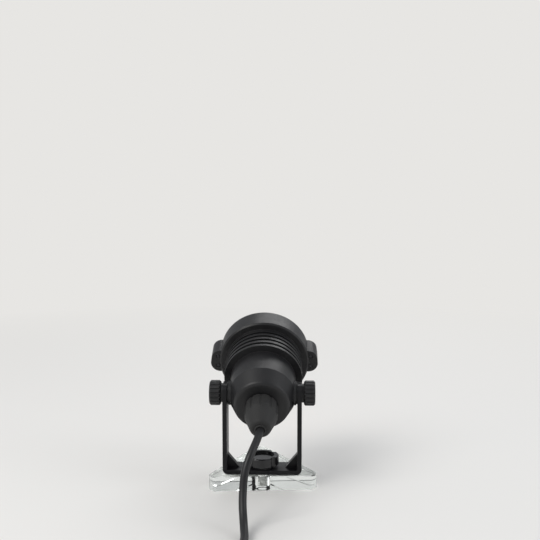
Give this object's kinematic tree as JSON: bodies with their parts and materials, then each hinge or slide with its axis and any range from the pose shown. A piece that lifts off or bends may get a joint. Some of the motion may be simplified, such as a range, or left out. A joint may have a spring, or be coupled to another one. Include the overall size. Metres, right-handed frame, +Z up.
{
  "type": "sunset projection lamp",
  "caption": "Small spot head with a domed glass lens, tilting in a U bracket that swivels on a clear three-cornered base, with a coiled USB cable.",
  "frame": {"origin": "on the swivel axis, at the underside of the clear base", "axes": "+Z up along the swivel axis, +Y the way the lamp shines, +X to the right seen from behind the lamp, along the tilt axis"},
  "size_m": [0.0902, 0.2944, 0.1147],
  "materials": {
    "clear_acrylic": "clear polished acrylic",
    "black_strip": "glossy black paint",
    "black_casting": "satin black coating",
    "black_plastic": "moulded black plastic",
    "black_rubber": "soft matt black",
    "black_cable": "smooth black jacket",
    "bright_steel": "turned, bright",
    "dark_steel": "blackened",
    "plug_metal": "nickel plated",
    "plain_aluminium": "machined",
    "bright_reflector": "bright metallised",
    "lens_glass": "clear optical glass",
    "sunset_filter": "amber film, redder towards its rim",
    "white_board": "white",
    "green_board": "green board",
    "phosphor": "yellow phosphor",
    "wire_red": "insulated wire"
  },
  "bodies": {
    "yoke": {"bracket": "black_strip", "clamp_washer": "black_plastic", "outer_washers": "black_plastic", "power_cord": "black_cable", "cord_coil": "black_cable", "cord_tail": "black_cable", "plug_grip": "black_cable", "plug_shell": "plug_metal", "plug_tongue": "white_board"},
    "base": {"base_plate": "clear_acrylic", "threaded_insert": "bright_steel"},
    "clamp": {"clamp_knob": "black_plastic", "clamp_stud": "bright_steel"},
    "head": {"head_housing": "black_casting", "front_bezel": "black_casting", "lug_screws": "dark_steel", "crystal_lens": "lens_glass", "lens_gasket": "black_rubber", "color_filter": "sunset_filter", "light_tunnel": "black_plastic", "condenser_holder": "bright_reflector", "condenser_lens": "lens_glass", "heat_plate": "plain_aluminium", "led_board": "white_board", "led_emitter": "phosphor", "board_screws": "bright_steel", "driver_board": "green_board", "driver_parts": "black_plastic", "lead_wires": "wire_red", "cable_gland": "black_rubber", "gland_seal": "black_rubber", "gland_nut": "black_plastic", "cable_inner_end": "black_cable", "friction_washers": "black_plastic"},
    "left_knob": {"tilt_knob_left": "black_plastic", "tilt_screw_left": "bright_steel"},
    "right_knob": {"tilt_knob_right": "black_plastic", "tilt_screw_right": "bright_steel"}
  },
  "joints": [
    {"name": "base_swivel", "type": "hinge", "parent": "yoke", "child": "base", "pos_m": [0, 0, 0], "axis": [0, 0, 1], "range_deg": [-180, 180]},
    {"name": "head_tilt", "type": "hinge", "parent": "yoke", "child": "head", "pos_m": [0, 0, 0.0651], "axis": [1, 0, 0], "range_deg": [-40, 40], "deforming": ["power_cord"]},
    {"name": "clamp_turn", "type": "hinge", "parent": "yoke", "child": "clamp", "pos_m": [0, 0, 0.02], "axis": [0, 0, 1], "range_deg": [0, 360]},
    {"name": "left_knob_turn", "type": "hinge", "parent": "head", "child": "left_knob", "pos_m": [-0.03, 0, 0.0651], "axis": [-1, 0, 0], "range_deg": [0, 360]},
    {"name": "right_knob_turn", "type": "hinge", "parent": "head", "child": "right_knob", "pos_m": [0.03, 0, 0.0651], "axis": [1, 0, 0], "range_deg": [0, 360]}
  ]
}
